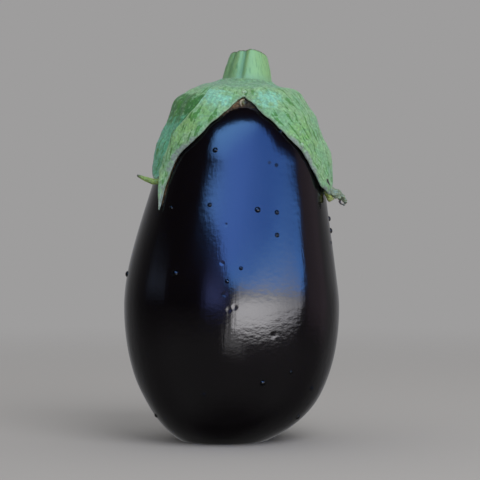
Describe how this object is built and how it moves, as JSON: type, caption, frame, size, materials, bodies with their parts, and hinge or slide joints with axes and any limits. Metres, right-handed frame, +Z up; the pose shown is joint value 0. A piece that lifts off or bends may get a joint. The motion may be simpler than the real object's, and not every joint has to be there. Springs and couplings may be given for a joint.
{
  "type": "eggplant",
  "caption": "Whole globe eggplant standing on its blossom end, with a lobed green calyx and a short cut stem.",
  "frame": {"origin": "centre of the small flat spot at the blossom end, on which the eggplant stands", "axes": "+Z up from the blossom end to the stem; -Y is the front, where the notch between two calyx lobes bares the skin; the stem stands a little towards +X"},
  "size_m": [0.09, 0.0878, 0.1592],
  "materials": {
    "skin": "gloss",
    "calyx": "matte",
    "stem": "matte"
  },
  "bodies": {
    "root": {"fruit": "skin", "calyx": "calyx", "stem": "stem"}
  },
  "joints": []
}
